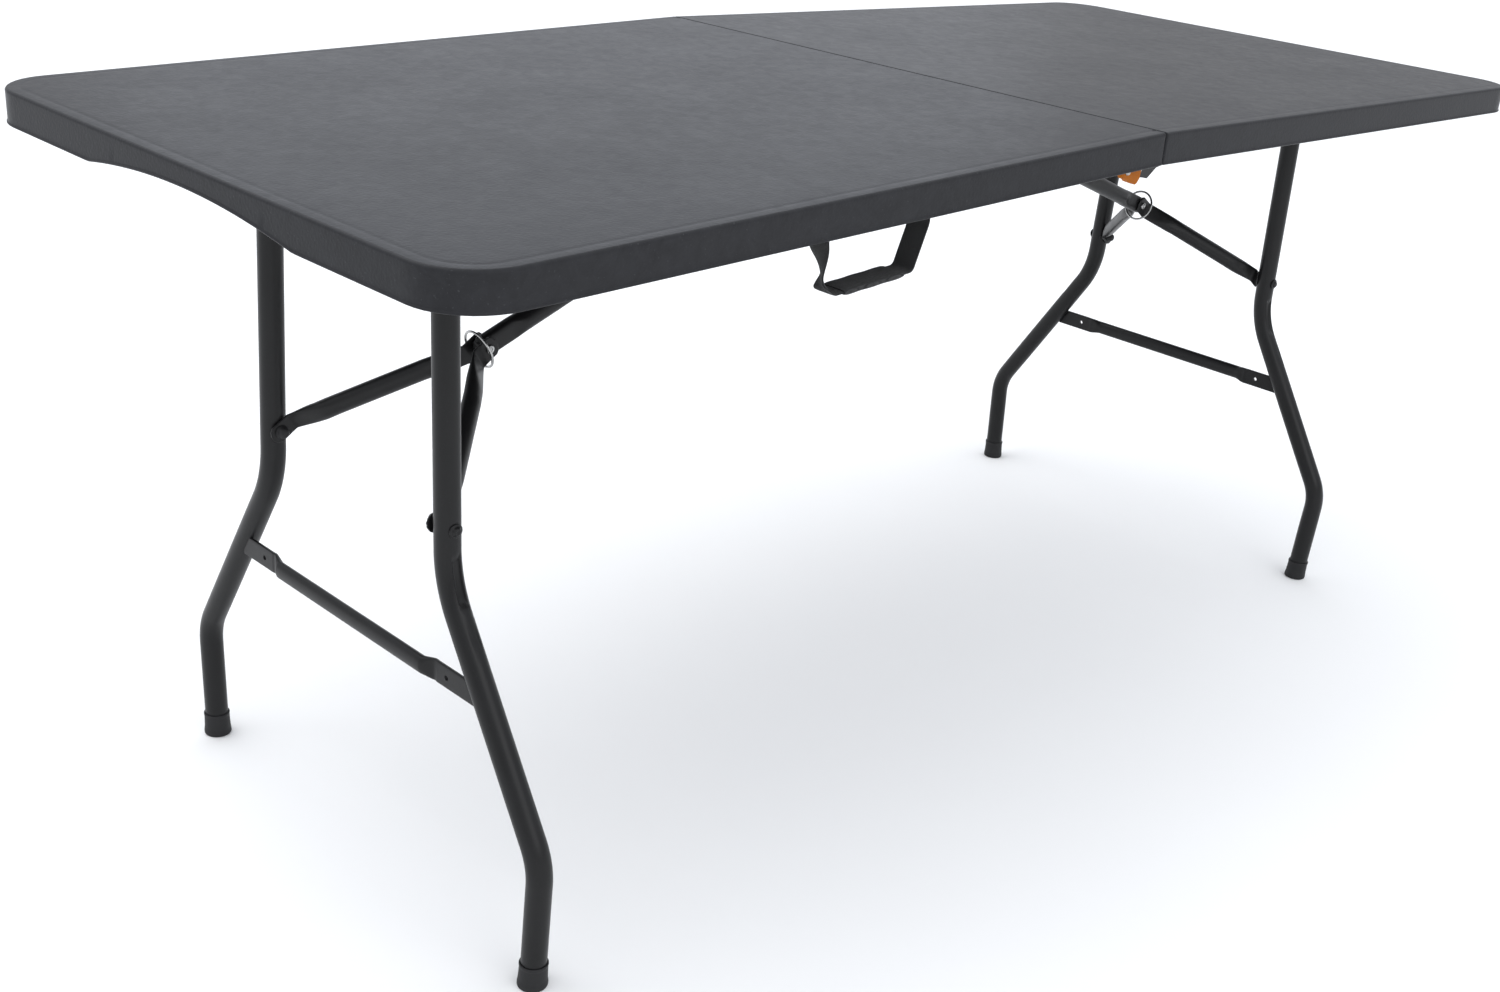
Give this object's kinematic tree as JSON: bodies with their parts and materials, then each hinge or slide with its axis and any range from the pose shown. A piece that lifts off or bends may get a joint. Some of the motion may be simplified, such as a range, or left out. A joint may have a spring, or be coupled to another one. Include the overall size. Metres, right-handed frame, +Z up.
{
  "type": "folding table",
  "caption": "Fold-in-half banquet table: two hinged plastic tabletop halves with carry handle, each on a folding bent-tube leg frame with a ring-locked brace.",
  "frame": {"origin": "on the floor, under the middle of the table", "axes": "+X along the length toward the half without the handle, +Y across the width away from the handle side, +Z up"},
  "size_m": [1.7998, 0.75, 0.7595],
  "materials": {
    "tabletop_plastic": "blow-moulded polyethylene with a fine pebble grain, charcoal grey",
    "painted_steel": "satin powder coat, charcoal",
    "black_plastic": "moulded black plastic",
    "bright_steel": "bright zinc or chrome plate",
    "orange_plastic": "moulded orange plastic",
    "webbing": "black nylon webbing"
  },
  "bodies": {
    "left_half": {"left_top": "tabletop_plastic", "left_front_rail": "painted_steel", "left_back_rail": "painted_steel", "left_front_pivot_bracket": "painted_steel", "left_back_pivot_bracket": "painted_steel", "left_link_bracket": "painted_steel", "left_link_pin": "bright_steel", "front_hinge_left_leaf": "painted_steel", "back_hinge_left_leaf": "painted_steel", "front_hinge_pin": "bright_steel", "back_hinge_pin": "bright_steel", "front_latch_pin": "bright_steel", "back_latch_pin": "bright_steel", "handle_left_tail": "webbing", "handle_right_tail": "webbing"},
    "right_half": {"right_top": "tabletop_plastic", "right_front_rail": "painted_steel", "right_back_rail": "painted_steel", "right_front_pivot_bracket": "painted_steel", "right_back_pivot_bracket": "painted_steel", "right_link_bracket": "painted_steel", "right_link_pin": "bright_steel", "front_hinge_right_leaf": "painted_steel", "back_hinge_right_leaf": "painted_steel"},
    "left_leg_frame": {"left_pivot_tube": "painted_steel", "left_front_leg": "painted_steel", "left_back_leg": "painted_steel", "left_stretcher": "painted_steel", "left_front_foot": "black_plastic", "left_back_foot": "black_plastic", "left_front_leg_rivet": "painted_steel", "left_back_leg_rivet": "painted_steel"},
    "left_link": {"left_link": "painted_steel", "left_elbow_rivet": "bright_steel"},
    "left_arms": {"left_front_arm": "painted_steel", "left_back_arm": "painted_steel", "left_front_cap_nut": "black_plastic", "left_back_cap_nut": "black_plastic"},
    "left_ring": {"left_lock_ring": "bright_steel"},
    "right_leg_frame": {"right_pivot_tube": "painted_steel", "right_front_leg": "painted_steel", "right_back_leg": "painted_steel", "right_stretcher": "painted_steel", "right_front_foot": "black_plastic", "right_back_foot": "black_plastic", "right_front_leg_rivet": "painted_steel", "right_back_leg_rivet": "painted_steel"},
    "right_link": {"right_link": "painted_steel", "right_elbow_rivet": "bright_steel"},
    "right_arms": {"right_front_arm": "painted_steel", "right_back_arm": "painted_steel", "right_front_cap_nut": "black_plastic", "right_back_cap_nut": "black_plastic"},
    "right_ring": {"right_lock_ring": "bright_steel"},
    "handle": {"handle_strap": "webbing", "handle_grip": "black_plastic"},
    "front_latch": {"front_latch": "orange_plastic"},
    "back_latch": {"back_latch": "orange_plastic"}
  },
  "joints": [
    {"name": "centre_fold", "type": "hinge", "parent": "left_half", "child": "right_half", "pos_m": [0, 0, 0.716], "axis": [0, 1, 0], "range_deg": [0, 85]},
    {"name": "left_leg_fold", "type": "hinge", "parent": "left_half", "child": "left_leg_frame", "pos_m": [-0.73486, 0, 0.71675], "axis": [0, -1, 0], "range_deg": [0, 91.15]},
    {"name": "left_link_pivot", "type": "hinge", "parent": "left_half", "child": "left_link", "pos_m": [-0.02444, 0, 0.73781], "axis": [0, -1, 0], "range_deg": [-19.58, 0]},
    {"name": "left_elbow", "type": "hinge", "parent": "left_link", "child": "left_arms", "pos_m": [-0.58496, 0, 0.52572], "axis": [0, -1, 0], "range_deg": [0, 164.61]},
    {"name": "left_ring_shift", "type": "hinge", "parent": "left_link", "child": "left_ring", "pos_m": [-0.53062, 0, 0.4479], "axis": [0, -1, 0], "range_deg": [-40.01, 0]},
    {"name": "right_leg_fold", "type": "hinge", "parent": "right_half", "child": "right_leg_frame", "pos_m": [0.73486, 0, 0.71675], "axis": [0, 1, 0], "range_deg": [0, 91.15]},
    {"name": "right_link_pivot", "type": "hinge", "parent": "right_half", "child": "right_link", "pos_m": [0.02444, 0, 0.73781], "axis": [0, 1, 0], "range_deg": [-19.58, 0]},
    {"name": "right_elbow", "type": "hinge", "parent": "right_link", "child": "right_arms", "pos_m": [0.58496, 0, 0.52572], "axis": [0, 1, 0], "range_deg": [0, 164.61]},
    {"name": "right_ring_shift", "type": "hinge", "parent": "right_link", "child": "right_ring", "pos_m": [0.53062, 0, 0.4479], "axis": [0, 1, 0], "range_deg": [-40.01, 0]},
    {"name": "handle_swing", "type": "hinge", "parent": "left_half", "child": "handle", "pos_m": [-0.4345, -0.3526, 0.7093], "axis": [1, 0, 0], "range_deg": [-60, 30]},
    {"name": "front_latch_turn", "type": "hinge", "parent": "left_half", "child": "front_latch", "pos_m": [-0.036, -0.3531, 0.719], "axis": [0, 1, 0], "range_deg": [0, 60]},
    {"name": "back_latch_turn", "type": "hinge", "parent": "left_half", "child": "back_latch", "pos_m": [-0.036, 0.3531, 0.719], "axis": [0, 1, 0], "range_deg": [0, 60]}
  ],
  "couplings": [
    {"joint": "left_link_pivot", "follows": "left_leg_fold", "ratio": -0.21476},
    {"joint": "left_elbow", "follows": "left_leg_fold", "ratio": 1.8059},
    {"joint": "left_ring_shift", "follows": "left_leg_fold", "ratio": -0.43884},
    {"joint": "right_link_pivot", "follows": "right_leg_fold", "ratio": -0.21476},
    {"joint": "right_elbow", "follows": "right_leg_fold", "ratio": 1.8059},
    {"joint": "right_ring_shift", "follows": "right_leg_fold", "ratio": -0.43884}
  ]
}
